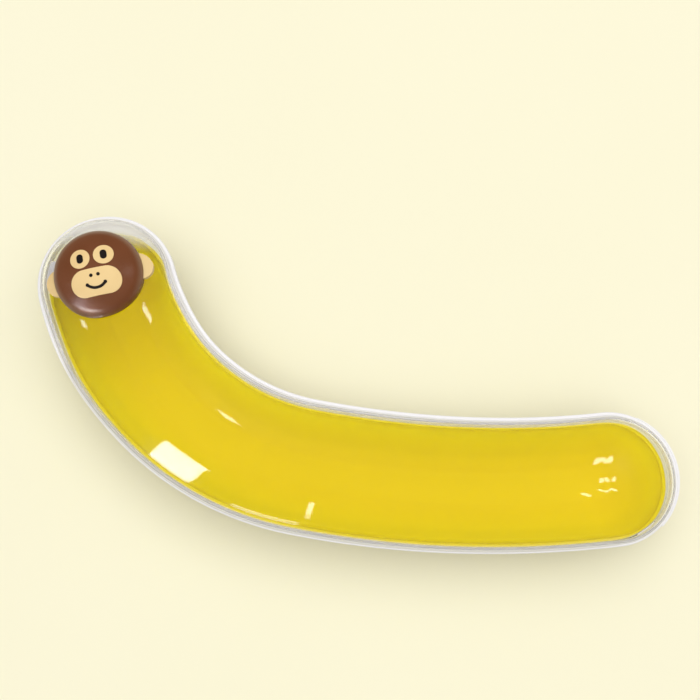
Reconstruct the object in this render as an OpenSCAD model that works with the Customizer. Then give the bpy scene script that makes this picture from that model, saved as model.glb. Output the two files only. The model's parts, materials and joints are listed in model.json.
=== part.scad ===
// Banana carrying case: a clear base with a yellow inner tray and a clear domed lid.
// The lid swings sideways about a pivot screw that a monkey's head covers.
// Millimetres, +Z up. The origin is where the pivot axis meets the resting plane.

/* [Course of the case] */
// Direction of the case where the bend runs into the tail, in degrees from +X
tail_heading = -10.9; // [-20:0.1:0]
// Centreline radius of the tight bend next to the head
bend_r = 97; // [80:1:130]
// Angle of the tight bend
bend_sweep = 63.5; // [50:0.5:70]
// Centreline radius of the long, nearly straight tail
tail_r = 378; // [280:1:500]
// Angle of the tail's bend
tail_sweep = 17.2; // [12:0.1:22]

/* [Shells] */
// Half width of the tray's inside, which takes the banana
bore_r = 20.9; // [18:0.1:24]
// Wall of the tray
tray_wall = 1.6; // [1.2:0.1:2]
// Free space between the tray and the base shell
tray_gap = 0.3; // [0.3:0.05:0.6]
// Wall of the base shell
base_wall = 1; // [0.9:0.1:2]
// Wall of the lid's dome
lid_wall = 1.4; // [1.2:0.1:2.4]
// Height of the parting plane above the resting plane
part_z = 28.6; // [27:0.1:31]
// Height of the base's upright wall above its round bottom
wall_rise = 6; // [4:0.1:8]
// Drop from the parting plane to the tray's rim
rim_drop = 3.2; // [3:0.1:6]
// Thickness of each flange
flange_t = 2; // [1.6:0.1:2.4]
// Width of the flange beyond the shell's wall
lip_w = 1.3; // [1.2:0.1:2.5]
// Free space between the two flanges
flange_gap = 0.2; // [0.1:0.05:0.4]
// Width by which the round head end swells beyond the bend on each side
head_swell = 0.9; // [0.5:0.1:2]
// Width by which the round tail end swells beyond the tail on each side
tail_swell = 0.3; // [0.3:0.1:2]
// Angle of the bend by which the tray stops short of the head's end
tray_back = 1.5; // [0:0.1:2.4]

/* [Dome of the lid] */
// Radius of the dome's crown across the case
crown_r = 32; // [28:0.5:40]
// Radius of the dome's shoulders
shoulder_r = 10; // [8:0.5:12]
// Height of the shoulder's centre above the parting plane
shoulder_z = 1.5; // [1:0.1:3]

/* [Tab and latch at the tail] */
// Reach of the base's thumb tab beyond the tail's tip
tab_reach = 1.2; // [0.6:0.1:2]
// Thickness of the thumb tab
tab_t = 1.6; // [1.2:0.1:1.6]
// Angle round the tail's end from its outer side to the hook
hook_turn = 30; // [20:1:40]
// Angle that the lid's hook takes up round the tail's end
hook_span = 20; // [14:1:24]
// Thickness of the hook's lip
hook_t = 1.6; // [1.2:0.1:2]
// Reach of the hook's lip into the base's wall
hook_reach = 0.8; // [0.6:0.1:0.9]
// Free space round the hook
hook_gap = 0.35; // [0.3:0.05:0.5]
// Angle of free space at the end of the slot that the hook rests against
hook_rest = 1; // [0.8:0.1:2]
// Angle of free space at the end of the slot to which the hook leaves
hook_relief = 9; // [8:0.5:12]

/* [Pivot] */
// Radius of the base's tower, which a bracket holds to the end wall
tower_r = 8; // [7.8:0.1:9]
// Half width of the bracket
bracket_half = 5.5; // [4:0.1:7.6]
// Direction of the bracket from the tower, in degrees from +X
bracket_turn = 170; // [150:1:190]
// Floor of the tower under the threaded insert
tower_floor = 2.4; // [1.5:0.1:4]
// Radius of the lid's boss
boss_r = 7.6; // [7.4:0.1:8.4]
// Radius of the screw's shoulder
shoulder_screw_r = 3; // [2.5:0.1:3.2]
// Radius of the screw's threaded end
thread_r = 2.45; // [2:0.05:2.45]
// Length of the screw's threaded end
thread_len = 7; // [5:0.5:7.5]
// Running clearance between the shoulder and the bush, on the radius
run_gap = 0.05; // [0.02:0.01:0.1]
// Small free space round pieces that are fixed into others
fix_gap = 0.05; // [0.03:0.01:0.1]
// Wall of the bush
bush_wall = 1.1; // [0.8:0.1:1.2]
// Radius of the bush's flange
bush_flange_r = 5.1; // [4.8:0.1:5.2]
// Thickness of the bush's flange
bush_flange_t = 0.8; // [0.6:0.1:1]
// Wall of the threaded insert
insert_wall = 1.1; // [0.9:0.1:1.3]
// Thickness of the friction washer
washer_t = 1.2; // [1:0.1:1.6]
// Outer radius of the friction washer
washer_r = 4.9; // [4.4:0.1:4.9]
// Free space beside washers on the shoulder
washer_gap = 0.3; // [0.2:0.05:0.4]
// Radius of the counterbore in the lid's crown
counterbore_r = 5.6; // [5.4:0.1:5.8]
// Depth of the counterbore below the crown
counterbore_depth = 5.4; // [5:0.1:6]
// Radius of the screw's head
screw_head_r = 4.7; // [4.4:0.1:4.8]
// Height of the screw's head
screw_head_h = 2.4; // [2:0.1:2.8]
// Width of the hexagon socket across its corners
socket_w = 4.6; // [4:0.1:5]
// Depth of the hexagon socket
socket_depth = 1.4; // [1:0.1:1.6]
// Thickness of the spring washer's sheet
spring_t = 0.5; // [0.4:0.05:0.6]
// Rise of the spring washer's cone
spring_rise = 0.4; // [0.3:0.05:0.5]
// Widest opening of the lid
swing_max = 110; // [60:5:140]
// Width of the lid's stop lug in degrees
lug_w = 24; // [16:1:30]
// Inner radius of the stop lug
lug_r_in = 5.5; // [5.4:0.1:5.8]
// Outer radius of the stop lug
lug_r_out = 6.7; // [6.4:0.1:6.9]
// Length of the stop lug below the parting plane
lug_len = 3; // [2.5:0.1:4]
// Free space round the stop lug
lug_gap = 0.3; // [0.3:0.05:0.4]
// Play in degrees between the lug and each end of its slot
lug_play = 0.5; // [0.3:0.1:1]

/* [Head] */
// Radius of the head
head_r = 16.4; // [14:0.1:18]
// Radius of the head's crown
head_crown_r = 25; // [22:0.5:30]
// Radius of the head's edge
head_edge_r = 6; // [5:0.5:7]
// Height of the edge's centre above the parting plane
head_edge_z = 15.5; // [15:0.1:17]
// Turn of the face about the pivot axis
face_turn = 12.5; // [-30:0.5:30]
// Outer radius of the collar that holds the head
collar_r = 7.4; // [7.2:0.1:7.6]
// Height of the collar above the crown
collar_h = 2; // [1.5:0.1:2.4]
// Free space between the head and the dome
seat_gap = 0.1; // [0.05:0.05:0.2]
// Distance of the ears' centres inside the head's edge
ear_in = 1.5; // [0.8:0.1:2.4]
// Radius of an ear
ear_r = 4.9; // [4:0.1:5.5]
// Thickness of an ear
ear_t = 2.2; // [1.6:0.1:2.6]

/* [Face] */
// Depth of the face's inlays
inlay_depth = 1; // [0.8:0.1:1.4]
// Height by which the patches stand proud of the head
patch_proud = 0.15; // [0.1:0.05:0.3]
// Height by which the eyes, nostrils and mouth stand proud of the head
dark_proud = 0.3; // [0.2:0.05:0.5]
// Sideways distance of an eye patch from the middle
patch_x = 4.3; // [4.2:0.1:5]
// Height of the eye patches above the middle
patch_y = 4.8; // [4:0.1:6]
// Radius of an eye patch
patch_r = 3.7; // [3:0.1:3.9]
// Radius of the rounded ends of an eye
eye_r = 1.15; // [0.8:0.05:1.4]
// Half the distance between the centres of an eye's rounded ends
eye_half = 0.6; // [0.3:0.05:1]
// Half the distance between the centres of the muzzle's rounded ends
muzzle_half = 4.2; // [3:0.1:5]
// Radius of the muzzle's rounded ends
muzzle_r = 5; // [4:0.1:5.2]
// Drop of the muzzle below the middle
muzzle_drop = 4.6; // [4.2:0.1:5.5]
// Radius of a nostril
nostril_r = 0.6; // [0.4:0.05:0.8]
// Sideways distance of a nostril from the middle
nostril_x = 1.3; // [1:0.1:2]
// Height of the nostrils above the muzzle's middle
nostril_rise = 2.4; // [1.5:0.1:3]
// Radius of the mouth's curve
mouth_r = 4.4; // [3:0.1:6]
// Width of the mouth's line
mouth_w = 0.9; // [0.6:0.1:1.2]
// Radius of the dots at the mouth's ends
mouth_end_r = 0.6; // [0.55:0.05:0.9]
// Half the angle of the mouth's curve
mouth_half = 48; // [30:1:60]
// Height of the mouth's centre above the muzzle's middle
mouth_rise = 2.2; // [1.5:0.1:3]

/* [Colours] */
// Colour of the two clear shells
clear_color = [0.88, 0.90, 0.92, 0.35];
// Colour of the tray
yellow_color = [0.93, 0.79, 0.05];
// Colour of the head
brown_color = [0.47, 0.32, 0.25];
// Colour of ears, patches and muzzle
cream_color = [0.93, 0.84, 0.64];
// Colour of eyes, nostrils and mouth
dark_color = [0.10, 0.08, 0.07];
// Colour of the bush and the friction washer
nylon_color = [0.90, 0.89, 0.84];
// Colour of the screw and the spring washer
steel_color = [0.70, 0.71, 0.73];
// Colour of the threaded insert
brass_color = [0.78, 0.62, 0.28];

/* [Hidden] */
$fn = 96;
// Overlap for clean cuts
eps = 0.01;
// Hair by which an edge's arc crosses the arc it runs into, so that the two meet cleanly
knit = 0.01;
// Larger than anything in the model
huge = 400;

// Half widths from the inside out
tray_out = bore_r + tray_wall;
base_in = tray_out + tray_gap;
case_r = base_in + base_wall;
flange_r = case_r + lip_w;

// Heights of the shells
arc_z = part_z - wall_rise;
tray_floor = base_wall + tray_wall;
rim_z = part_z - rim_drop;
base_top = part_z - flange_gap / 2;
lid_bottom = part_z + flange_gap / 2;

// Section of the dome: shoulder arcs run into the crown arc without a corner
shoulder_x = case_r - shoulder_r;
shoulder_h = part_z + shoulder_z;
crown_c = shoulder_h - sqrt(pow(crown_r - shoulder_r, 2) - pow(shoulder_x, 2));
end_crown_r = crown_r + head_swell;
crown_top = crown_c + end_crown_r;

// Centres of the round ends, seen from where the bend runs into the tail
function bend_point(angle) = bend_r * [-sin(angle), 1 - cos(angle)];
head_at = bend_point(bend_sweep);
tail_at = tail_r * [sin(tail_sweep), 1 - cos(tail_sweep)];

// The tray's head end is drawn back and meets the tray's sides where the base's end meets the base's,
// to a hundredth of a millimetre
end_run = sqrt(pow(base_in + head_swell, 2) - pow(base_in, 2));
tray_run = end_run - bend_r * tray_back * PI / 180;
tray_swell = floor(100 * (sqrt(pow(tray_out, 2) + pow(tray_run, 2)) - tray_out)) / 100;

// Levels of the pivot's stack
tower_top = part_z - washer_t;
insert_r = thread_r + fix_gap + insert_wall;
insert_len = thread_len + 1;
bracket_z = tower_top - insert_len - tower_floor;
bush_r = shoulder_screw_r + run_gap + bush_wall;
counterbore_z = crown_top - counterbore_depth;
bush_top = counterbore_z + bush_flange_t;
spring_z = bush_top + flange_gap / 2;
head_under = spring_z + spring_t + spring_rise;

// Hook and its slot
end_wall_r = case_r + tail_swell;
hook_out = flange_r + tail_swell - flange_gap / 2;
hook_top = base_top - flange_t - hook_gap;
hook_bottom = hook_top - hook_t;

// Shape of the head
head_edge_x = head_r - head_edge_r;
head_edge_h = part_z + head_edge_z;
head_c = head_edge_h - sqrt(pow(head_crown_r - head_edge_r, 2) - pow(head_edge_x, 2));
head_seat_r = end_crown_r + seat_gap;
inlay_floor = head_crown_r - inlay_depth;
ear_at = head_r - ear_in;

// Right half of a section, for the round ends
module right_half() {
    intersection() {
        children();
        translate([0, -huge / 2])
            square([huge, huge]);
    }
}

// Stands things in the case's own course, in which the bend runs into the tail at [0, 0] along +X
module on_course() {
    rotate(tail_heading)
        translate(-head_at)
            children();
}

// Round end: a section turned about an upright axis
module round_end(at) {
    translate(at)
        rotate_extrude()
            right_half()
                children();
}

// Carries the first section along bend and tail, the second round the head's end
// and the third round the tail's end. The head's end is drawn back by the given angle.
module along_course(back = 0) {
    on_course() {
        translate([0, bend_r])
            rotate(-90)
                rotate_extrude(angle = back - bend_sweep)
                    translate([bend_r, 0])
                        children(0);
        translate([0, tail_r])
            rotate(-90)
                rotate_extrude(angle = tail_sweep)
                    translate([tail_r, 0])
                        children(0);
        round_end(bend_point(bend_sweep - back))
            children(1);
        round_end(tail_at)
            children(2);
    }
}

// Puts things at the hook: on the tail's end, with +X outwards through the hook's middle
module at_hook() {
    on_course()
        translate(tail_at)
            rotate(tail_sweep - 90 + hook_turn)
                children();
}

// Trough section: upright walls on a round bottom that is cut off flat
module trough(half_w, floor_z, top_z) {
    intersection() {
        union() {
            translate([0, arc_z])
                circle(half_w);
            translate([-half_w, arc_z])
                square([2 * half_w, top_z - arc_z]);
        }
        translate([-huge / 2, floor_z])
            square([huge, top_z - floor_z]);
    }
}

// Band across the section, from which a flange is made
module flange_band(low_z, swell) {
    translate([-flange_r - swell, low_z])
        square([2 * (flange_r + swell), flange_t]);
}

// Dome section above the given height, smaller all round by the given inset
module dome(inset, low_z) {
    tangent = shoulder_x * crown_r / (crown_r - shoulder_r);
    tangent_z = crown_c + sqrt(pow(crown_r, 2) - pow(tangent, 2));
    half_w = case_r - inset;
    intersection() {
        union() {
            intersection() {
                translate([0, crown_c])
                    circle(crown_r - inset);
                polygon([[0, crown_c], [2 * tangent, 2 * tangent_z - crown_c],
                    [-2 * tangent, 2 * tangent_z - crown_c]]);
            }
            for (side = [-1, 1])
                translate([side * shoulder_x, shoulder_h])
                    circle(shoulder_r - inset + knit);
            translate([-half_w, low_z])
                square([2 * half_w, shoulder_h - low_z]);
        }
        translate([-huge / 2, low_z])
            square([huge, huge]);
    }
}

// Part of a ring between two angles
module ring_sector(r_in, r_out, from, span, low_z, high_z) {
    translate([0, 0, low_z])
        rotate(from)
            rotate_extrude(angle = span)
                translate([r_in, 0])
                    square([r_out - r_in, high_z - low_z]);
}

// Plain ring
module ring(r_in, r_out, low_z, high_z) {
    difference() {
        translate([0, 0, low_z])
            cylinder(r = r_out, h = high_z - low_z);
        translate([0, 0, low_z - eps])
            cylinder(r = r_in, h = high_z - low_z + 2 * eps);
    }
}

// Tower on a bracket that runs out through the end wall, larger all round by the given margin
module bracket(margin) {
    low_z = bracket_z - margin;
    translate([0, 0, low_z])
        linear_extrude(tower_top - low_z) {
            circle(tower_r + margin);
            rotate(bracket_turn)
                translate([0, -bracket_half - margin])
                    square([2 * flange_r, 2 * (bracket_half + margin)]);
        }
}

// Crescent on the base's flange that looks out from under the lid at the tail
module thumb_tab() {
    on_course()
        translate([tail_at[0], tail_at[1], base_top - (flange_t + tab_t) / 2])
            rotate(tail_sweep)
                linear_extrude(tab_t)
                    difference() {
                        translate([tab_reach, 0])
                            circle(flange_r + tail_swell);
                        translate([-flange_r, -2 * flange_r])
                            square([1.5 * flange_r, 4 * flange_r]);
                        circle((case_r + flange_r) / 2);
                    }
}

// Outside of the base shell's section
module base_outside(swell) {
    trough(case_r + swell, 0, base_top);
    flange_band(base_top - flange_t, swell);
}

// Inside of the base shell's section
module base_inside(swell) {
    trough(base_in + swell, base_wall, part_z + flange_t);
}

// Clear lower half
module base_shell() {
    slot_from = -hook_span / 2 - hook_relief;
    slot_span = hook_span + hook_relief + hook_rest;
    color(clear_color)
        difference() {
            union() {
                difference() {
                    along_course() {
                        base_outside(0);
                        base_outside(head_swell);
                        base_outside(tail_swell);
                    }
                    difference() {
                        along_course() {
                            base_inside(0);
                            base_inside(head_swell);
                            base_inside(tail_swell);
                        }
                        bracket(0);
                    }
                }
                thumb_tab();
            }
            translate([0, 0, tower_top - insert_len - fix_gap])
                cylinder(r = insert_r + fix_gap, h = insert_len + 1);
            ring_sector(lug_r_in - lug_gap, lug_r_out + lug_gap,
                -swing_max - lug_w / 2 - lug_play, swing_max + lug_w + 2 * lug_play,
                part_z - lug_len - lug_gap, part_z);
            at_hook() {
                ring_sector(end_wall_r - seat_gap, flange_r + tail_swell + 2 * tab_reach,
                    slot_from, slot_span, base_top - flange_t - eps, part_z);
                ring_sector(base_in - lip_w, end_wall_r + lip_w / 2, slot_from, slot_span,
                    hook_bottom - hook_gap, hook_top + hook_gap);
            }
        }
}

// Section of the tray's outside
module tray_outside(swell) {
    trough(tray_out + swell, base_wall, rim_z);
}

// Section of the tray's inside
module tray_inside(swell) {
    trough(bore_r + swell, tray_floor, part_z);
}

// Yellow trough that takes the banana, notched at its end for the base's bracket
module inner_tray() {
    color(yellow_color)
        difference() {
            along_course(tray_back) {
                tray_outside(0);
                tray_outside(tray_swell);
                tray_outside(tail_swell);
            }
            along_course(tray_back) {
                tray_inside(0);
                tray_inside(tray_swell);
                tray_inside(tail_swell);
            }
            bracket(tray_gap);
        }
}

// Insert in the top of the tower
module threaded_insert() {
    color(brass_color)
        ring(thread_r + fix_gap, insert_r, tower_top - insert_len, tower_top);
}

// Washer on which the lid's boss turns
module friction_washer() {
    color(nylon_color)
        ring(shoulder_screw_r + washer_gap, washer_r, tower_top, part_z);
}

// Shoulder screw with a hexagon socket
module pivot_screw() {
    color(steel_color)
        difference() {
            union() {
                translate([0, 0, tower_top - thread_len])
                    cylinder(r = thread_r, h = thread_len + eps);
                translate([0, 0, tower_top])
                    cylinder(r = shoulder_screw_r, h = head_under - tower_top + eps);
                translate([0, 0, head_under])
                    cylinder(r = screw_head_r, h = screw_head_h);
            }
            translate([0, 0, head_under + screw_head_h - socket_depth])
                cylinder(d = socket_w, h = socket_depth + 1, $fn = 6);
        }
}

// Cone washer that presses the lid down
module spring_washer() {
    r_in = shoulder_screw_r + washer_gap;
    color(steel_color)
        translate([0, 0, spring_z])
            rotate_extrude()
                polygon([[screw_head_r, 0], [screw_head_r, spring_t],
                    [r_in, spring_t + spring_rise], [r_in, spring_rise]]);
}

// Outside of the lid's section
module lid_outside(swell) {
    dome(-swell, lid_bottom);
    flange_band(lid_bottom, swell);
}

// Inside of the lid's section
module lid_inside(swell) {
    dome(lid_wall - swell, part_z - flange_t);
}

// Clear upper half
module lid_shell() {
    color(clear_color)
        difference() {
            union() {
                difference() {
                    along_course() {
                        lid_outside(0);
                        lid_outside(head_swell);
                        lid_outside(tail_swell);
                    }
                    along_course() {
                        lid_inside(0);
                        lid_inside(head_swell);
                        lid_inside(tail_swell);
                    }
                }
                intersection() {
                    translate([0, 0, lid_bottom])
                        cylinder(r = boss_r, h = crown_top - lid_bottom);
                    translate([0, 0, crown_c])
                        sphere(end_crown_r - lid_wall / 2);
                }
                translate([0, 0, counterbore_z])
                    cylinder(r = collar_r, h = crown_top + collar_h - counterbore_z);
                ring_sector(lug_r_in, lug_r_out, -lug_w / 2, lug_w, part_z - lug_len, lid_bottom + eps);
                at_hook() {
                    ring_sector(end_wall_r + hook_gap, hook_out, -hook_span / 2, hook_span,
                        hook_bottom, lid_bottom + flange_t / 2);
                    ring_sector(end_wall_r - hook_reach, hook_out, -hook_span / 2, hook_span,
                        hook_bottom, hook_top);
                }
            }
            translate([0, 0, lid_bottom - 1])
                cylinder(r = bush_r + fix_gap, h = crown_top);
            translate([0, 0, counterbore_z])
                cylinder(r = counterbore_r, h = crown_top);
        }
}

// Bush on which the lid turns
module pivot_bush() {
    color(nylon_color)
        difference() {
            union() {
                translate([0, 0, lid_bottom])
                    cylinder(r = bush_r, h = bush_top - lid_bottom);
                translate([0, 0, counterbore_z])
                    cylinder(r = bush_flange_r, h = bush_flange_t);
            }
            translate([0, 0, lid_bottom - 1])
                cylinder(r = shoulder_screw_r + run_gap, h = crown_top);
        }
}

// Outer form of the head above the parting plane
module head_form() {
    tangent = head_edge_x * head_crown_r / (head_crown_r - head_edge_r);
    tangent_z = head_c + sqrt(pow(head_crown_r, 2) - pow(tangent, 2));
    rotate_extrude()
        intersection() {
            union() {
                intersection() {
                    translate([0, head_c])
                        circle(head_crown_r);
                    polygon([[0, head_c], [2 * tangent, 2 * tangent_z - head_c],
                        [0, 2 * tangent_z - head_c]]);
                }
                translate([head_edge_x, head_edge_h])
                    circle(head_edge_r + knit);
                translate([0, part_z])
                    square([head_r, head_edge_h - part_z]);
            }
            translate([0, part_z])
                square([huge, huge]);
        }
}

// Section of the dome with the head's free space on it
module head_seat(swell) {
    dome(-swell - seat_gap, part_z - flange_t);
}

// Brown domed head that covers the pivot
module head_cap() {
    color(brown_color)
        difference() {
            head_form();
            along_course() {
                head_seat(0);
                head_seat(head_swell);
                head_seat(tail_swell);
            }
            translate([0, 0, crown_c])
                cylinder(r = collar_r + seat_gap, h = end_crown_r + collar_h + seat_gap);
            for (side = [-1, 1])
                ear_plate(side, seat_gap);
            inlay(patch_proud + 1) {
                patch_shape(-1);
                patch_shape(1);
                muzzle_shape();
            }
        }
}

// Round plate on the dome's shoulder, larger all round by the given margin
module ear_plate(side, margin) {
    rotate(face_turn)
        translate([side * ear_at, 0, 0])
            intersection() {
                translate([0, 0, crown_c])
                    cylinder(r = ear_r + margin, h = 2 * end_crown_r);
                translate([-side * ear_at, 0, crown_c])
                    difference() {
                        sphere(head_seat_r + ear_t + margin);
                        sphere(head_seat_r);
                    }
            }
}

// Left ear as seen from above
module ear_left() {
    color(cream_color)
        ear_plate(-1, 0);
}

// Right ear as seen from above
module ear_right() {
    color(cream_color)
        ear_plate(1, 0);
}

// Lets a flat shape into the head's crown, from its floor to the given height above the crown
module inlay(proud) {
    rotate(face_turn)
        intersection() {
            translate([0, 0, head_c])
                linear_extrude(2 * head_crown_r)
                    children();
            translate([0, 0, head_c])
                difference() {
                    sphere(head_crown_r + proud);
                    sphere(inlay_floor);
                }
        }
}

// Patch round one eye
module patch_shape(side, margin = 0) {
    translate([side * patch_x, patch_y])
        circle(patch_r + margin);
}

// Upright oval of one eye
module eye_shape(side, margin = 0) {
    translate([side * patch_x, patch_y]) {
        for (end = [-1, 1])
            translate([0, end * eye_half])
                circle(eye_r + margin);
        translate([-eye_r - margin, -eye_half])
            square([2 * (eye_r + margin), 2 * eye_half]);
    }
}

// Wide oval of the muzzle
module muzzle_shape(margin = 0) {
    translate([0, -muzzle_drop]) {
        for (end = [-1, 1])
            translate([end * muzzle_half, 0])
                circle(muzzle_r + margin);
        translate([-muzzle_half, -muzzle_r - margin])
            square([2 * muzzle_half, 2 * (muzzle_r + margin)]);
    }
}

// The two nostrils
module nostril_shapes(margin = 0) {
    for (side = [-1, 1])
        translate([side * nostril_x, nostril_rise - muzzle_drop])
            circle(nostril_r + margin);
}

// Curved line of the mouth with round ends
module mouth_shape(margin = 0) {
    half = mouth_w / 2 + margin;
    translate([0, mouth_rise - muzzle_drop]) {
        intersection() {
            difference() {
                circle(mouth_r + half);
                circle(mouth_r - half);
            }
            polygon([[0, 0], huge * [-sin(mouth_half), -cos(mouth_half)],
                huge * [sin(mouth_half), -cos(mouth_half)]]);
        }
        for (side = [-1, 1])
            translate(mouth_r * [side * sin(mouth_half), -cos(mouth_half)])
                circle(mouth_end_r + margin);
    }
}

// One eye patch with the hole for its eye
module eye_patch(side) {
    color(cream_color)
        inlay(patch_proud)
            difference() {
                patch_shape(side, -fix_gap);
                eye_shape(side, fix_gap);
            }
}

// Left eye patch
module eye_patch_left() {
    eye_patch(-1);
}

// Right eye patch
module eye_patch_right() {
    eye_patch(1);
}

// Muzzle with the holes for nostrils and mouth
module muzzle() {
    color(cream_color)
        inlay(patch_proud)
            difference() {
                muzzle_shape(-fix_gap);
                nostril_shapes(fix_gap);
                mouth_shape(fix_gap);
            }
}

// Left eye
module eye_left() {
    color(dark_color)
        inlay(dark_proud)
            eye_shape(-1);
}

// Right eye
module eye_right() {
    color(dark_color)
        inlay(dark_proud)
            eye_shape(1);
}

// Nostrils
module nostrils() {
    color(dark_color)
        inlay(dark_proud)
            nostril_shapes();
}

// Mouth
module mouth() {
    color(dark_color)
        inlay(dark_proud)
            mouth_shape();
}

base_shell();
inner_tray();
threaded_insert();
friction_washer();
pivot_screw();
spring_washer();
lid_shell();
pivot_bush();
head_cap();
ear_left();
ear_right();
eye_patch_left();
eye_patch_right();
muzzle();
eye_left();
eye_right();
nostrils();
mouth();
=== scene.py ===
import json
import math

import bmesh
import bpy
from mathutils import Matrix, Vector


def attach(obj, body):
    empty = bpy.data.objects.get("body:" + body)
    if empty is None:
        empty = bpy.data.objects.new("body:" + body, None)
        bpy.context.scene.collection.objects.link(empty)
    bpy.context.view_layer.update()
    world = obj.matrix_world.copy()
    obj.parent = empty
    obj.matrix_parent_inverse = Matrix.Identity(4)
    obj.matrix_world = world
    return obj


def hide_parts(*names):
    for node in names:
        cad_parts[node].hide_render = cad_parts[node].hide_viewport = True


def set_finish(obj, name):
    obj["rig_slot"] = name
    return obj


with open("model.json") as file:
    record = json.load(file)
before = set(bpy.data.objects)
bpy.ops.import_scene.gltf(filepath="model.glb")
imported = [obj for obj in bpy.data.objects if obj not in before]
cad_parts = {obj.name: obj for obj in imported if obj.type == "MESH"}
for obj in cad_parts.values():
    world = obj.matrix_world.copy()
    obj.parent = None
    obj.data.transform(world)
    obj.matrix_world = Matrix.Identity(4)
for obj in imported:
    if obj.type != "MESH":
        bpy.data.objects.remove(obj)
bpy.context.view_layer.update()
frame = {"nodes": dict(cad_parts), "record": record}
nodes = frame["nodes"]
scene = bpy.context.scene
scene.view_settings.view_transform = "Standard"

MM = 0.001
QUARTER = math.pi / 2
FULL_TURN = 2 * math.pi

# Course of the case from the pivot to the tail's end, as in the solids. Lengths are in millimetres
TAIL_HEADING = math.radians(-10.9)
BEND_R = 97.0
BEND_SWEEP = math.radians(63.5)
TAIL_R = 378.0
TAIL_SWEEP = math.radians(17.2)
BEND_LEN = BEND_R * BEND_SWEEP
COURSE_LEN = BEND_LEN + TAIL_R * TAIL_SWEEP

# Walls, flanges and dome, as in the solids
BORE_R = 20.9
TRAY_WALL = 1.6
TRAY_GAP = 0.3
TRAY_BACK = math.radians(1.5)
BASE_WALL = 1.0
LID_WALL = 1.4
LIP_W = 1.3
FLANGE_T = 2.0
FLANGE_GAP = 0.2
PART_Z = 28.6
WALL_RISE = 6.0
RIM_DROP = 3.2
HEAD_SWELL = 0.9
TAIL_SWELL = 0.3
CROWN_R = 32.0
SHOULDER_R = 10.0
SHOULDER_RISE = 1.5
TRAY_OUT = BORE_R + TRAY_WALL
BASE_IN = TRAY_OUT + TRAY_GAP
CASE_R = BASE_IN + BASE_WALL
FLANGE_R = CASE_R + LIP_W
ARC_Z = PART_Z - WALL_RISE
RIM_Z = PART_Z - RIM_DROP
BASE_TOP = PART_Z - FLANGE_GAP / 2
LID_BOTTOM = PART_Z + FLANGE_GAP / 2
LID_FLANGE_TOP = LID_BOTTOM + FLANGE_T
SHOULDER_X = CASE_R - SHOULDER_R
SHOULDER_Z = PART_Z + SHOULDER_RISE
CROWN_TURN = math.asin(SHOULDER_X / (CROWN_R - SHOULDER_R))
CROWN_C = SHOULDER_Z - (CROWN_R - SHOULDER_R) * math.cos(CROWN_TURN)
CROWN_TOP = CROWN_C + CROWN_R + HEAD_SWELL

# Pivot, stop lug, thumb tab and hook, as in the solids
TOWER_R = 8.0
BRACKET_HALF = 5.5
BRACKET_TURN = math.radians(170.0)
BRACKET_TALL = 10.4
WASHER_T = 1.2
INSERT_R = 3.6
INSERT_LEN = 8.0
BOSS_R = 7.6
COLLAR_R = 7.4
COLLAR_H = 2.0
BUSH_R = 4.15
COUNTERBORE_R = 5.6
COUNTERBORE_DEPTH = 5.4
FIX_GAP = 0.05
SWING = math.radians(110.0)
LUG_HALF = math.radians(12.0)
LUG_PLAY = math.radians(0.5)
LUG_IN = 5.5
LUG_OUT = 6.7
LUG_LEN = 3.0
LUG_GAP = 0.3
TAB_REACH = 1.2
TAB_T = 1.6
HOOK_TURN = math.radians(30.0)
HOOK_HALF = math.radians(10.0)
HOOK_RELIEF = math.radians(9.0)
HOOK_REST = math.radians(1.0)
HOOK_T = 1.6
HOOK_REACH = 0.8
HOOK_GAP = 0.35
TOWER_TOP = PART_Z - WASHER_T
BRACKET_Z = TOWER_TOP - BRACKET_TALL
HOOK_TOP = BASE_TOP - FLANGE_T - HOOK_GAP
HOOK_BOTTOM = HOOK_TOP - HOOK_T

# Small departures of the meshes from the solids. A run goes along the course, and a reach goes outwards
HEAD_BLEND = 8.0
TAIL_BLEND = 5.0
OUTLINE_GROW = 0.2
NECK_GROW = 0.9
NECK_RUN = (12.0, 50.0)
TAIL_SLIM = 0.6
TAIL_SLIM_FROM = 120.0
TAPER_REACH = (17.0, 23.0)
LEAN = 0.8
LEAN_RUN = (8.0, 30.0)
LEAN_REACH = (15.0, 22.0)
LEAN_STOP = 0.3
TRAY_SHORT = 0.9

# How far each rounded corner reaches along its two sides
FLOOR_EASE = 0.8
ROOT_EASE = 0.45
EDGE_EASE = 0.35
MOUTH_EASE = 0.3
RIM_EASE = 0.6
SHARP_ANGLE = math.radians(32.0)

# Steps of the round forms
SIDE_STEPS = 120
END_STEPS = 36
CROWN_STEPS = 18
SHOULDER_STEPS = 12
TROUGH_STEPS = 16
EASE_STEPS = 4
TURN_STEPS = 64
TOWER_STEPS = 40
ARM_STEPS = 8
LUG_STEPS = 8
LUG_SLOT_STEPS = 36
HOOK_STEPS = 12
HOOK_SLOT_STEPS = 18
TAB_STEPS = 24
TAB_STEP = 5.0
TAB_HALF = 60.0

# Overlaps of the pieces that are joined or cut away
MERGE_DISTANCE = 1e-7
SKIM = 0.01
MOUTH_BACK = 0.1
LUG_ROOT = 0.5
CUT_BELOW = 1.0
CUT_PAST = 3.0


# Course of the case

def smooth(low, high, value):
    """Soft step from 0 at low to 1 at high."""
    t = min(max((value - low) / (high - low), 0.0), 1.0)
    return t * t * (3.0 - 2.0 * t)


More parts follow.
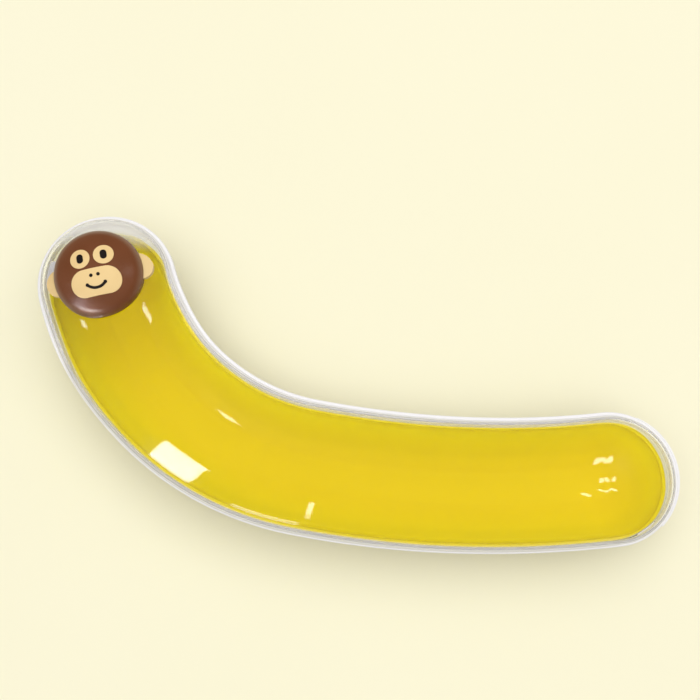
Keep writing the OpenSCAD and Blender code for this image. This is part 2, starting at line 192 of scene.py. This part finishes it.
def course(s):
    """Point and heading of the centreline at the length s from the pivot."""
    def on_arc(radius, angle):
        return radius * Vector((math.sin(angle), 1.0 - math.cos(angle)))
    if s < BEND_LEN:
        angle = s / BEND_R - BEND_SWEEP
        point = on_arc(BEND_R, angle)
    else:
        angle = (s - BEND_LEN) / TAIL_R
        point = on_arc(TAIL_R, angle)
    point = point - on_arc(BEND_R, -BEND_SWEEP)
    point.rotate(Matrix.Rotation(TAIL_HEADING, 2))
    return point, TAIL_HEADING + angle


def swell(s):
    """Growth of the whole section towards the two round ends."""
    head = HEAD_SWELL * (1.0 - smooth(0.0, HEAD_BLEND, s))
    return head + TAIL_SWELL * smooth(COURSE_LEN - TAIL_BLEND, COURSE_LEN, s)


def taper(s):
    """Growth of the outline beyond the section: full behind the head, slim at the tail's end."""
    neck = NECK_GROW * (1.0 - smooth(*NECK_RUN, s))
    tail = TAIL_SLIM * smooth(TAIL_SLIM_FROM, COURSE_LEN, s)
    return OUTLINE_GROW + neck - tail - swell(s)


def lean(s, turn, r):
    """Shift of the walls towards the outer side of the bend, with the flange's edge kept."""
    side = max(0.0, -math.sin(turn)) * smooth(*LEAN_RUN, s)
    return LEAN * side * smooth(*LEAN_REACH, r) * (1.0 - smooth(CASE_R - LEAN_STOP, FLANGE_R, r))


def outline_places(start, end):
    """Lengths and turns round the case: outer side, tail, inner side, head."""
    along = [start + (end - start) * i / SIDE_STEPS for i in range(SIDE_STEPS + 1)]
    turns = [math.pi * i / END_STEPS for i in range(1, END_STEPS)]
    places = [(s, -QUARTER) for s in along]
    places += [(end, turn - QUARTER) for turn in turns]
    places += [(s, QUARTER) for s in reversed(along)]
    places += [(start, turn + QUARTER) for turn in turns]
    return places


TAIL_END, TAIL_WAY = course(COURSE_LEN)
HOOK_WAY = TAIL_WAY - QUARTER + HOOK_TURN
END_FIT = TAIL_SWELL + taper(COURSE_LEN)
END_WALL = CASE_R + END_FIT


# Sections of the shells, from the middle outwards and back to the middle

def arc(centre, radius, start, end, steps):
    """Points on a circle, with no easing. Angles start at the top and go outwards."""
    turns = [start + (end - start) * i / steps for i in range(steps + 1)]
    return [(centre[0] + radius * math.sin(t), centre[1] + radius * math.cos(t), 0.0) for t in turns]


def eased(path):
    """Rounds each corner of a path whose points hold the corner's reach as their third value."""
    points = []
    for i, (x, y, reach) in enumerate(path):
        if not reach:
            points.append((x, y))
            continue
        corner = Vector((x, y))
        before = corner + (Vector(path[i - 1][:2]) - corner).normalized() * reach
        after = corner + (Vector(path[i + 1][:2]) - corner).normalized() * reach
        for k in range(EASE_STEPS + 1):
            t = k / EASE_STEPS
            points.append(tuple(before * (1 - t) ** 2 + corner * 2 * t * (1 - t) + after * t ** 2))
    return points


def lid_section(grow):
    """Dome, its foot, the flange and the inside of the dome."""
    foot = math.acos((LID_FLANGE_TOP - SHOULDER_Z) / (SHOULDER_R + grow))
    middle = (0.0, CROWN_C)
    side = (SHOULDER_X, SHOULDER_Z)
    path = arc(middle, CROWN_R + grow, 0.0, CROWN_TURN, CROWN_STEPS)
    path += arc(side, SHOULDER_R + grow, CROWN_TURN, foot, SHOULDER_STEPS)[1:]
    path[-1] = (*path[-1][:2], ROOT_EASE)
    path += [(FLANGE_R + grow, LID_FLANGE_TOP, RIM_EASE), (FLANGE_R + grow, LID_BOTTOM, EDGE_EASE),
             (CASE_R - LID_WALL + grow, LID_BOTTOM, EDGE_EASE)]
    path += arc(side, SHOULDER_R - LID_WALL + grow, QUARTER, CROWN_TURN, SHOULDER_STEPS)
    path += arc(middle, CROWN_R - LID_WALL + grow, CROWN_TURN, 0.0, CROWN_STEPS)[1:]
    return eased(path)


def trough_arc(radius, floor_z, upwards):
    """Round bottom of a trough between its flat floor and its upright wall."""
    floor_turn = math.acos((floor_z - ARC_Z) / radius)
    path = arc((0.0, ARC_Z), radius, floor_turn, QUARTER, TROUGH_STEPS)
    path[0] = (*path[0][:2], FLOOR_EASE)
    return path if upwards else path[::-1]


def base_section(grow):
    """Outside of the trough, the flange and the inside of the trough."""
    flange_foot = BASE_TOP - FLANGE_T
    path = [(0.0, 0.0, 0.0)]
    path += trough_arc(CASE_R + grow, 0.0, True)
    path += [(CASE_R + grow, flange_foot, ROOT_EASE), (FLANGE_R + grow, flange_foot, EDGE_EASE),
             (FLANGE_R + grow, BASE_TOP, EDGE_EASE), (BASE_IN + grow, BASE_TOP, MOUTH_EASE)]
    path += trough_arc(BASE_IN + grow, BASE_WALL, False)
    path += [(0.0, BASE_WALL, 0.0)]
    return eased(path)


def tray_section(grow):
    """Outside of the tray, its rim and its inside."""
    path = [(0.0, BASE_WALL, 0.0)]
    path += trough_arc(TRAY_OUT + grow, BASE_WALL, True)
    path += [(TRAY_OUT + grow, RIM_Z, RIM_EASE), (BORE_R + grow, RIM_Z, RIM_EASE)]
    path += trough_arc(BORE_R + grow, BASE_WALL + TRAY_WALL, False)
    path += [(0.0, BASE_WALL + TRAY_WALL, 0.0)]
    return eased(path)


# Meshes

def mesh_object(name, bm):
    bmesh.ops.remove_doubles(bm, verts=bm.verts, dist=MERGE_DISTANCE)
    bmesh.ops.recalc_face_normals(bm, faces=bm.faces)
    mesh = bpy.data.meshes.new(name)
    bm.to_mesh(mesh)
    bm.free()
    obj = bpy.data.objects.new(name, mesh)
    scene.collection.objects.link(obj)
    return obj


def vertex(bm, place, z):
    """Vertex over a place in the plan, turned from millimetres into metres."""
    return bm.verts.new(Vector((place[0], place[1], z)) * MM)


def bridge(bm, rings, closed):
    """Quads between neighbouring rings of points."""
    pairs = list(zip(rings, rings[1:]))
    if closed:
        pairs.append((rings[-1], rings[0]))
    for ring, other in pairs:
        for i in range(len(ring) - 1):
            bm.faces.new((ring[i], ring[i + 1], other[i + 1], other[i]))


def shell(name, section, start=0.0, end=COURSE_LEN):
    """Closed shell: a section carried round the whole outline."""
    bm = bmesh.new()
    rings = []
    for s, turn in outline_places(start, end):
        spine, heading = course(s)
        way = Vector((math.cos(heading + turn), math.sin(heading + turn)))
        ring = []
        for r, z in section(swell(s)):
            out = r + taper(s) * smooth(*TAPER_REACH, r) + lean(s, turn, r)
            ring.append(vertex(bm, spine + way * out, z))
        rings.append(ring)
    bridge(bm, rings, True)
    return mesh_object(name, bm)


def turned_piece(profile, at=Vector((0.0, 0.0)), start=0.0, span=FULL_TURN, steps=TURN_STEPS):
    """Closed profile turned about an upright axis, all the way or between two angles."""
    bm = bmesh.new()
    whole = span == FULL_TURN
    count = steps if whole else steps + 1
    rings = []
    for i in range(count):
        angle = start + span * i / steps
        way = Vector((math.cos(angle), math.sin(angle)))
        rings.append([vertex(bm, at + way * r, z) for r, z in [*profile, profile[0]]])
    bridge(bm, rings, whole)
    if not whole:
        bm.faces.new(rings[0][:-1])
        bm.faces.new(rings[-1][:-1])
    return mesh_object("tool", bm)


def box_profile(r_in, r_out, low, high):
    return [(r_in, low), (r_out, low), (r_out, high), (r_in, high)]


def prism(outline, low, high):
    """Closed outline drawn up between two heights."""
    bm = bmesh.new()
    floor_ring = [vertex(bm, place, low) for place in outline]
    roof_ring = [vertex(bm, place, high) for place in outline]
    bm.faces.new(floor_ring)
    bm.faces.new(roof_ring)
    for i in range(len(outline)):
        bm.faces.new((floor_ring[i - 1], floor_ring[i], roof_ring[i], roof_ring[i - 1]))
    return mesh_object("tool", bm)


def combine(obj, tool, operation):
    """Joins the tool to the piece or cuts it away."""
    modifier = obj.modifiers.new("combine", "BOOLEAN")
    modifier.operation = operation
    modifier.solver = "EXACT"
    modifier.object = tool
    graph = bpy.context.evaluated_depsgraph_get()
    joined = bpy.data.meshes.new_from_object(obj.evaluated_get(graph))
    obj.modifiers.clear()
    obj.data = joined
    bpy.data.objects.remove(tool)


def finished(obj, body, node, slot):
    """Smooth faces with sharp corners. The piece rides on its body and stands for its solid."""
    obj.data.shade_smooth()
    obj.data.set_sharp_from_angle(angle=SHARP_ANGLE)
    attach(obj, body)
    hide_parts(node)
    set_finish(obj, slot)
    return obj


# The three shells

def bracket_outline(margin, reach):
    """Tower of the pivot and the arm that runs from it to the head's end wall."""
    half = BRACKET_HALF + margin
    tower = TOWER_R + margin
    first = math.asin(half / tower)
    last = math.asin(half / reach)
    points = []
    for i in range(TOWER_STEPS + 1):
        angle = first + (FULL_TURN - 2 * first) * i / TOWER_STEPS
        points.append((tower, angle + BRACKET_TURN))
    for i in range(ARM_STEPS + 1):
        angle = -last + 2 * last * i / ARM_STEPS
        points.append((reach, angle + BRACKET_TURN))
    return [(r * math.cos(a), r * math.sin(a)) for r, a in points]


def tab_outline():
    """Crescent of the thumb tab, which stands out past the flange at the tail's end."""
    outer = FLANGE_R + END_FIT
    inner = (CASE_R + FLANGE_R) / 2 + END_FIT
    sweep = [math.radians(TAB_STEP * i - TAB_HALF) for i in range(TAB_STEPS + 1)]
    crescent = [Vector((TAB_REACH + outer * math.cos(a), outer * math.sin(a))) for a in sweep]
    crescent += [inner * Vector((math.cos(a), math.sin(a))) for a in reversed(sweep)]
    for point in crescent:
        point.rotate(Matrix.Rotation(TAIL_WAY, 2))
    return [point + TAIL_END for point in crescent]


def clear_lid():
    """Lid with the pivot's boss and collar, the bush's bore, the stop lug and the hook."""
    lid = shell("clear_lid", lid_section)

    boss_top = CROWN_C + math.sqrt((CROWN_R + HEAD_SWELL - LID_WALL / 2) ** 2 - BOSS_R ** 2)
    collar_top = CROWN_TOP + COLLAR_H
    boss = [(0.0, LID_BOTTOM), (BOSS_R, LID_BOTTOM), (BOSS_R, boss_top), (COLLAR_R, boss_top),
            (COLLAR_R, collar_top), (0.0, collar_top)]
    combine(lid, turned_piece(boss), "UNION")

    bore_r = BUSH_R + FIX_GAP
    bore_foot = LID_BOTTOM - CUT_BELOW
    bore_top = collar_top + CUT_PAST
    step_z = CROWN_TOP - COUNTERBORE_DEPTH
    bore = [(0.0, bore_foot), (bore_r, bore_foot), (bore_r, step_z), (COUNTERBORE_R, step_z),
            (COUNTERBORE_R, bore_top), (0.0, bore_top)]
    combine(lid, turned_piece(bore), "DIFFERENCE")

    lug = box_profile(LUG_IN, LUG_OUT, PART_Z - LUG_LEN, LID_BOTTOM + LUG_ROOT)
    combine(lid, turned_piece(lug, start=-LUG_HALF, span=2 * LUG_HALF, steps=LUG_STEPS), "UNION")

    out = FLANGE_R + END_FIT - FLANGE_GAP / 2
    plate = END_WALL + HOOK_GAP
    lip = END_WALL - HOOK_REACH
    root = LID_BOTTOM + FLANGE_T / 2
    hook = [(plate, root), (out, root), (out, HOOK_BOTTOM), (lip, HOOK_BOTTOM), (lip, HOOK_TOP),
            (plate, HOOK_TOP)]
    combine(lid, turned_piece(hook, TAIL_END, HOOK_WAY - HOOK_HALF, 2 * HOOK_HALF, HOOK_STEPS), "UNION")
    return finished(lid, "lid", "lid_shell", "clear_shell")


def clear_base():
    """Base with the pivot's tower, the insert's hole, the lug's slot, the tab and the hook's slot."""
    base = shell("clear_base", base_section)

    end_reach = BASE_IN + HEAD_SWELL + taper(0.0) + BASE_WALL / 3
    combine(base, prism(bracket_outline(0.0, end_reach), BRACKET_Z, TOWER_TOP), "UNION")

    insert_foot = TOWER_TOP - INSERT_LEN - FIX_GAP
    insert_hole = box_profile(0.0, INSERT_R + FIX_GAP, insert_foot, PART_Z)
    combine(base, turned_piece(insert_hole), "DIFFERENCE")

    lug_slot = box_profile(LUG_IN - LUG_GAP, LUG_OUT + LUG_GAP, PART_Z - LUG_LEN - LUG_GAP, PART_Z)
    lug_start = -SWING - LUG_HALF - LUG_PLAY
    lug_span = SWING + 2 * LUG_HALF + 2 * LUG_PLAY
    slot_cut = turned_piece(lug_slot, start=lug_start, span=lug_span, steps=LUG_SLOT_STEPS)
    combine(base, slot_cut, "DIFFERENCE")

    tab_z = BASE_TOP - (FLANGE_T + TAB_T) / 2
    combine(base, prism(tab_outline(), tab_z, tab_z + TAB_T), "UNION")

    inside = BASE_IN - LIP_W
    notch = END_WALL + LIP_W / 2
    mouth = END_WALL - MOUTH_BACK
    beyond = FLANGE_R + CUT_PAST
    sill = BASE_TOP - FLANGE_T - SKIM
    slot_low = HOOK_BOTTOM - HOOK_GAP
    slot_high = HOOK_TOP + HOOK_GAP + SKIM
    hook_slot = [(inside, slot_low), (notch, slot_low), (notch, sill), (beyond, sill), (beyond, PART_Z),
                 (mouth, PART_Z), (mouth, slot_high), (inside, slot_high)]
    slot_start = HOOK_WAY - HOOK_HALF - HOOK_RELIEF
    slot_span = 2 * HOOK_HALF + HOOK_RELIEF + HOOK_REST
    slot_cut = turned_piece(hook_slot, TAIL_END, slot_start, slot_span, HOOK_SLOT_STEPS)
    combine(base, slot_cut, "DIFFERENCE")
    return finished(base, "base", "base_shell", "clear_shell")


def yellow_tray():
    """Tray with the notch for the pivot's bracket."""
    tray = shell("yellow_tray", tray_section, BEND_R * TRAY_BACK, COURSE_LEN - TRAY_SHORT)
    notch = bracket_outline(TRAY_GAP, 2 * FLANGE_R)
    combine(tray, prism(notch, BRACKET_Z - TRAY_GAP, PART_Z), "DIFFERENCE")
    return finished(tray, "base", "inner_tray", "yellow")


shells = (clear_base(), yellow_tray(), clear_lid())


# Nodes that the materials share

DRIFT_SCALE = 60.0
DRIFT_ENDS = (0.3, 0.7)
GLOSS_SCALE = 120.0
GRAIN_DEPTH = 0.0002


def new_material(name):
    mat = bpy.data.materials.new(name)
    mat.use_nodes = True
    tree = mat.node_tree
    return mat, tree, tree.nodes["Principled BSDF"]


def object_place(tree):
    coord = tree.nodes.new("ShaderNodeTexCoord")
    return coord.outputs["Object"]


def object_axes(tree):
    """The place on the piece, split into X, Y and Z."""
    split = tree.nodes.new("ShaderNodeSeparateXYZ")
    tree.links.new(object_place(tree), split.inputs["Vector"])
    return split.outputs


def noise(tree, scale, detail=2.0):
    node = tree.nodes.new("ShaderNodeTexNoise")
    node.inputs["Scale"].default_value = scale
    node.inputs["Detail"].default_value = detail
    tree.links.new(object_place(tree), node.inputs["Vector"])
    return node.outputs["Fac"]


def ramp(tree, fac, *stops):
    """Colour that runs through the stops, each of them a value and its colour."""
    node = tree.nodes.new("ShaderNodeValToRGB")
    elements = node.color_ramp.elements
    for value, _ in stops[1:-1]:
        elements.new(value)
    for element, (value, colour) in zip(elements, stops):
        element.position = value
        element.color = (*colour, 1.0)
    tree.links.new(fac, node.inputs["Fac"])
    return node.outputs["Color"]


def spread(tree, fac, low, high):
    """Takes a value between 0 and 1 to one between low and high."""
    node = tree.nodes.new("ShaderNodeMapRange")
    node.inputs["To Min"].default_value = low
    node.inputs["To Max"].default_value = high
    tree.links.new(fac, node.inputs["Value"])
    return node.outputs["Result"]


def step(tree, value, none_at, full_at):
    """Soft step between two lengths in millimetres."""
    node = tree.nodes.new("ShaderNodeMapRange")
    node.interpolation_type = "SMOOTHSTEP"
    node.inputs["From Min"].default_value = none_at * MM
    node.inputs["From Max"].default_value = full_at * MM
    tree.links.new(value, node.inputs["Value"])
    return node.outputs["Result"]


def calculated(tree, operation, one, other, clamp=False):
    node = tree.nodes.new("ShaderNodeMath")
    node.operation = operation
    node.use_clamp = clamp
    tree.links.new(one, node.inputs[0])
    tree.links.new(other, node.inputs[1])
    return node.outputs["Value"]


def mixed(tree, fac, one, other):
    """Mix of two shaders: all of the first at 0, all of the other at 1."""
    node = tree.nodes.new("ShaderNodeMixShader")
    tree.links.new(fac, node.inputs["Fac"])
    tree.links.new(one, node.inputs[1])
    tree.links.new(other, node.inputs[2])
    return node.outputs["Shader"]


def drift(tree, scale, low, high):
    """Slow change between two shades of a colour."""
    return ramp(tree, noise(tree, scale), (DRIFT_ENDS[0], low), (DRIFT_ENDS[1], high))


def uneven_gloss(tree, bsdf, rough):
    tree.links.new(spread(tree, noise(tree, GLOSS_SCALE), *rough), bsdf.inputs["Roughness"])


# Materials

# Shares of the tray's height. Up the walls the yellow is painted paler, as painted light, and on the rim
# darker, as painted shade
TRAY_FLOOR = 0.12
TRAY_PAINTED_LIGHT_WALLS = (0.65, 0.92)
TRAY_RIM_PAINTED_SHADE = 0.98
TRAY_WAVER = 0.5
TRAY_SPECULAR = 0.15

# Places where the clear plastic is painted milky, as painted light along the flanges and as a painted
# reflection behind the head, each from none to full in millimetres
PAINTED_LIGHT_FOOT = (25.0, 26.3)
PAINTED_LIGHT_TOP = (35.0, 33.6)
BEHIND_HEAD = (9.0, 19.0)
BEHIND_RISE = (27.0, 33.0)
PAINTED_REFLECTION_SHARE = 0.38
CLEAR_IOR = 1.46
CLEAR_SHADE = (0.98, 0.98, 0.985, 1.0)
CLEAR_SCALE = 90.0
CLEAR_DETAIL = 3.0

RING_SCALE = 900.0
RING_WAVER = 1.5


def moulded(name, low, high, rough, grain_scale=1400.0, grain=0.10):
    """Opaque moulded plastic: slight colour drift, uneven gloss and a fine moulded grain."""
    mat, tree, bsdf = new_material(name)
    tree.links.new(drift(tree, DRIFT_SCALE, low, high), bsdf.inputs["Base Color"])
    uneven_gloss(tree, bsdf, rough)
    bump = tree.nodes.new("ShaderNodeBump")
    bump.inputs["Strength"].default_value = grain
    bump.inputs["Distance"].default_value = GRAIN_DEPTH
    tree.links.new(noise(tree, grain_scale), bump.inputs["Height"])
    tree.links.new(bump.outputs["Normal"], bsdf.inputs["Normal"])
    return mat


def tray_plastic(name, floor_colour, wall_painted_light, rim_painted_shade, rough):
    """Yellow plastic of the tray, with painted light up its walls for the light that comes in through the
    clear base, and painted shade on its rim.
    """
    mat, tree, bsdf = new_material(name)
    waver = spread(tree, noise(tree, DRIFT_SCALE), -TRAY_WAVER * MM, TRAY_WAVER * MM)
    height = calculated(tree, "ADD", object_axes(tree)["Z"], waver)
    share = tree.nodes.new("ShaderNodeMapRange")
    share.inputs["From Max"].default_value = RIM_Z * MM
    tree.links.new(height, share.inputs["Value"])
    # Painted light: the walls take a paler yellow than the floor; painted shade: the rim takes a darker
    # one
    walls = [(value, wall_painted_light) for value in TRAY_PAINTED_LIGHT_WALLS]
    stops = [(TRAY_FLOOR, floor_colour), *walls, (TRAY_RIM_PAINTED_SHADE, rim_painted_shade)]
    tree.links.new(ramp(tree, share.outputs["Result"], *stops), bsdf.inputs["Base Color"])
    uneven_gloss(tree, bsdf, rough)
    bsdf.inputs["Specular IOR Level"].default_value = TRAY_SPECULAR
    return mat


def clear(name, tint, painted_light_tint, rough, edge_rough, painted_light_clear):
    """Clear moulded plastic that lets lamp light through.

    It is painted milky along the flanges and the dome's foot as painted light, and a little behind the
    head as a painted reflection.
    """
    mat, tree, bsdf = new_material(name)
    axes = object_axes(tree)
    height = axes["Z"]
    # Painted light: a milky band on the flanges and the dome's foot; painted reflection: milk on the lid
    # behind the head
    band = calculated(tree, "MULTIPLY", step(tree, height, *PAINTED_LIGHT_FOOT), step(tree, height, *PAINTED_LIGHT_TOP))
    behind = calculated(tree, "MULTIPLY", step(tree, axes["Y"], *BEHIND_HEAD),
                        step(tree, height, *BEHIND_RISE))
    edge = calculated(tree, "MAXIMUM", band, spread(tree, behind, 0.0, PAINTED_REFLECTION_SHARE))
    tree.links.new(ramp(tree, edge, (0.0, tint), (1.0, painted_light_tint)), bsdf.inputs["Base Color"])
    tree.links.new(spread(tree, edge, 1.0, painted_light_clear), bsdf.inputs["Transmission Weight"])
    bsdf.inputs["IOR"].default_value = CLEAR_IOR
    gloss = tree.nodes.new("ShaderNodeMath")
    gloss.operation = "MULTIPLY_ADD"
    gloss.inputs[1].default_value = edge_rough
    tree.links.new(edge, gloss.inputs[0])
    tree.links.new(spread(tree, noise(tree, CLEAR_SCALE, CLEAR_DETAIL), *rough), gloss.inputs[2])
    tree.links.new(gloss.outputs["Value"], bsdf.inputs["Roughness"])
    path = tree.nodes.new("ShaderNodeLightPath")
    film = tree.nodes.new("ShaderNodeBsdfTransparent")
    film.inputs["Color"].default_value = CLEAR_SHADE
    surface = mixed(tree, path.outputs["Is Shadow Ray"], bsdf.outputs["BSDF"], film.outputs["BSDF"])
    tree.links.new(surface, tree.nodes["Material Output"].inputs["Surface"])
    return mat


def turned(name, low, high, rough):
    """Turned metal with fine rings round its axis."""
    mat, tree, bsdf = new_material(name)
    bsdf.inputs["Metallic"].default_value = 1.0
    rings = tree.nodes.new("ShaderNodeTexWave")
    rings.wave_type = "RINGS"
    rings.rings_direction = "Z"
    rings.inputs["Scale"].default_value = RING_SCALE
    rings.inputs["Distortion"].default_value = RING_WAVER
    tree.links.new(object_place(tree), rings.inputs["Vector"])
    tree.links.new(ramp(tree, rings.outputs["Fac"], (0.0, low), (1.0, high)), bsdf.inputs["Base Color"])
    tree.links.new(spread(tree, rings.outputs["Fac"], *rough), bsdf.inputs["Roughness"])
    return mat


MATERIALS = {
    # The clear shell's edge tint is painted light and painted reflection on the clear plastic
    "clear_shell": clear("clear_shell", tint=(0.98, 0.98, 0.99), painted_light_tint=(0.81, 0.795, 0.80),
                         rough=(0.02, 0.05), edge_rough=0.30, painted_light_clear=0.1),
    # The tray's wall colour is painted light and its rim colour is painted shade
    "yellow": tray_plastic("yellow", floor_colour=(0.83, 0.635, 0.002), wall_painted_light=(0.98, 0.86, 0.002),
                           rim_painted_shade=(0.82, 0.67, 0.002), rough=(0.40, 0.48)),
    "brown": moulded("brown", (0.144, 0.045, 0.014), (0.172, 0.054, 0.019), rough=(0.28, 0.40)),
    "cream": moulded("cream", (0.755, 0.53, 0.235), (0.795, 0.58, 0.275), rough=(0.32, 0.45)),
    "dark": moulded("dark", (0.010, 0.007, 0.006), (0.018, 0.013, 0.011), rough=(0.25, 0.40)),
    "nylon": moulded("nylon", (0.74, 0.72, 0.64), (0.80, 0.78, 0.70), rough=(0.45, 0.60),
                     grain_scale=1600.0, grain=0.20),
    "steel": turned("steel", (0.40, 0.41, 0.43), (0.56, 0.57, 0.60), rough=(0.22, 0.38)),
    "brass": turned("brass", (0.50, 0.31, 0.07), (0.64, 0.43, 0.12), rough=(0.22, 0.38)),
}


def dress(obj, slot):
    obj.data.materials.clear()
    obj.data.materials.append(MATERIALS[slot])


for part in frame["record"]["subparts"]:
    dress(nodes[part["node"]], part["material_slot"])
for piece in shells:
    dress(piece, piece["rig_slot"])


# Floor and backdrop, with the floor's size and place in metres

BACKDROP = (0.99, 0.95, 0.72, 1.0)
FLOOR_SIZE = 6.0
FLOOR_PLACE = (0.09, 0.0, -0.0004)
FLOOR_SHADES = ((0.830, 0.794, 0.591), (0.840, 0.804, 0.605))
FLOOR_SCALE = 6.0
FLOOR_ROUGH = 0.9
FLOOR_SPECULAR = 0.1
FLOOR_FADE = (350.0, 1100.0)


def floor_material():
    """Pale floor that keeps the shadow near the case and turns into the backdrop far from it."""
    mat, tree, bsdf = new_material("floor")
    tree.links.new(drift(tree, FLOOR_SCALE, *FLOOR_SHADES), bsdf.inputs["Base Color"])
    bsdf.inputs["Roughness"].default_value = FLOOR_ROUGH
    bsdf.inputs["Specular IOR Level"].default_value = FLOOR_SPECULAR
    away = tree.nodes.new("ShaderNodeVectorMath")
    away.operation = "LENGTH"
    tree.links.new(object_place(tree), away.inputs[0])
    far = step(tree, away.outputs["Value"], *FLOOR_FADE)
    path = tree.nodes.new("ShaderNodeLightPath")
    seen = calculated(tree, "MAXIMUM", path.outputs["Is Camera Ray"], path.outputs["Is Transmission Ray"])
    backdrop = tree.nodes.new("ShaderNodeEmission")
    backdrop.inputs["Color"].default_value = BACKDROP
    share = calculated(tree, "MULTIPLY", far, seen)
    surface = mixed(tree, share, bsdf.outputs["BSDF"], backdrop.outputs["Emission"])
    tree.links.new(surface, tree.nodes["Material Output"].inputs["Surface"])
    mat.cycles.emission_sampling = "NONE"
    return mat


bpy.ops.mesh.primitive_plane_add(size=FLOOR_SIZE, location=FLOOR_PLACE)
floor = bpy.context.object
floor.name = "floor"
floor.data.materials.append(floor_material())


# Sky

SKY_COLOUR = (1.0, 0.99, 0.98, 1.0)
SKY_LIGHT = 0.42
SKY_MIRRORED = 0.06


def background(tree, colour, strength=1.0):
    node = tree.nodes.new("ShaderNodeBackground")
    node.inputs["Color"].default_value = colour
    node.inputs["Strength"].default_value = strength
    return node.outputs["Background"]


def studio_sky():
    """Soft light all round, dim in reflections. The camera sees the backdrop instead."""
    world = bpy.data.worlds.new("studio")
    world.use_nodes = True
    tree = world.node_tree
    tree.nodes.remove(tree.nodes["Background"])
    path = tree.nodes.new("ShaderNodeLightPath").outputs
    mirrored = calculated(tree, "SUBTRACT", path["Is Glossy Ray"], path["Is Transmission Ray"], clamp=True)
    light = mixed(tree, mirrored, background(tree, SKY_COLOUR, SKY_LIGHT),
                  background(tree, SKY_COLOUR, SKY_MIRRORED))
    surface = mixed(tree, path["Is Camera Ray"], light, background(tree, BACKDROP))
    tree.links.new(surface, tree.nodes["World Output"].inputs["Surface"])
    return world


scene.world = studio_sky()


# Lamps

NEAR = 40.0
HEAD_GLINT_SPREAD = math.radians(60.0)


def lamp(name, place, aim, width, height, watts, colour=(1.0, 1.0, 1.0)):
    """Rectangular lamp that faces its aim, with all lengths in metres."""
    data = bpy.data.lights.new(name, "AREA")
    data.shape = "RECTANGLE"
    data.size = width
    data.size_y = height
    data.energy = watts
    data.color = colour
    obj = bpy.data.objects.new(name, data)
    scene.collection.objects.link(obj)
    obj.location = place
    obj.rotation_euler = (Vector(aim) - Vector(place)).to_track_quat("-Z", "Y").to_euler()
    return obj


def glint(name, aim, azimuth, elevation, width, height, reach=120.0, radiance=6.0):
    """Lamp that only shows as a reflection, placed by its direction from a point on the case.

    Lengths are in millimetres and angles in degrees.
    """
    turn = math.radians(azimuth)
    rise = math.radians(elevation)
    way = Vector((math.cos(rise) * math.cos(turn), math.cos(rise) * math.sin(turn), math.sin(rise)))
    aim = Vector(aim) * MM
    watts = math.pi * radiance * width * height * MM ** 2
    spot = lamp(name, aim + way * reach * MM, aim, width * MM, height * MM, watts)
    spot.visible_camera = False
    spot.visible_diffuse = False
    return spot


fill = lamp("fill", place=(0.18, 0.12, 1.70), aim=(0.09, -0.03, 0.03), width=2.6, height=2.6, watts=39.0)
fill.visible_glossy = False
fill.visible_transmission = False
window = lamp("window", place=(-0.75, -0.85, 0.62), aim=(0.05, -0.06, 0.04), width=0.24, height=0.56,
              watts=4.4, colour=(0.80, 0.86, 1.0))
window.visible_diffuse = False

glint("glint_low", aim=(0.0, -15.0, 48.0), azimuth=-107.0, elevation=14.0,
      width=320.0, height=160.0, reach=1200.0)
glint_head = glint("glint_head", aim=(-3.0, -14.0, 48.5), azimuth=-114.0, elevation=15.0,
                   width=40.0, height=14.0, reach=60.0, radiance=3.0)
glint_head.data.spread = HEAD_GLINT_SPREAD
glint("glint_bend", aim=(17.9, -13.7, 42.8), azimuth=51.0, elevation=48.8,
      width=5.0, height=5.5, reach=NEAR)
glint("glint_neck", aim=(-5.3, -18.2, 42.9), azimuth=-176.0, elevation=39.3, width=6.0, height=12.0)
glint("glint_inner", aim=(48.4, -52.5, 44.3), azimuth=79.2, elevation=62.9, width=5.0, height=10.0)
glint("glint_strip", aim=(77.8, -85.4, 41.0), azimuth=-103.0, elevation=37.0, width=3.0, height=34.0)
glint("glint_end_blob", aim=(185.1, -67.5, 44.5), azimuth=82.5, elevation=63.4,
      width=1.8, height=8.0, reach=NEAR)
glint("glint_end_top", aim=(186.0, -74.6, 45.1), azimuth=0.8, elevation=84.2,
      width=6.0, height=0.9, reach=NEAR)
glint("glint_end_mid", aim=(186.0, -78.5, 44.8), azimuth=-61.0, elevation=74.2,
      width=0.9, height=6.0, reach=NEAR)
glint("glint_end_low", aim=(176.0, -80.2, 44.5), azimuth=-51.0, elevation=68.8,
      width=2.0, height=6.0, reach=NEAR)


# Camera, almost straight above the case, with its place in metres

TARGET = Vector((0.0921, -0.0255, 0.0296))
ELEVATION = math.radians(80.1)
DISTANCE = 0.427
LENS = 58.5
SENSOR = 36.0
CLIP_START = 0.01

camera_data = bpy.data.cameras.new("camera")
camera_data.sensor_width = SENSOR
camera_data.lens = LENS
camera_data.clip_start = CLIP_START
camera = bpy.data.objects.new("camera", camera_data)
scene.collection.objects.link(camera)
camera.location = TARGET + DISTANCE * Vector((0.0, -math.cos(ELEVATION), math.sin(ELEVATION)))
camera.rotation_euler = (QUARTER - ELEVATION, 0.0, 0.0)
scene.camera = camera
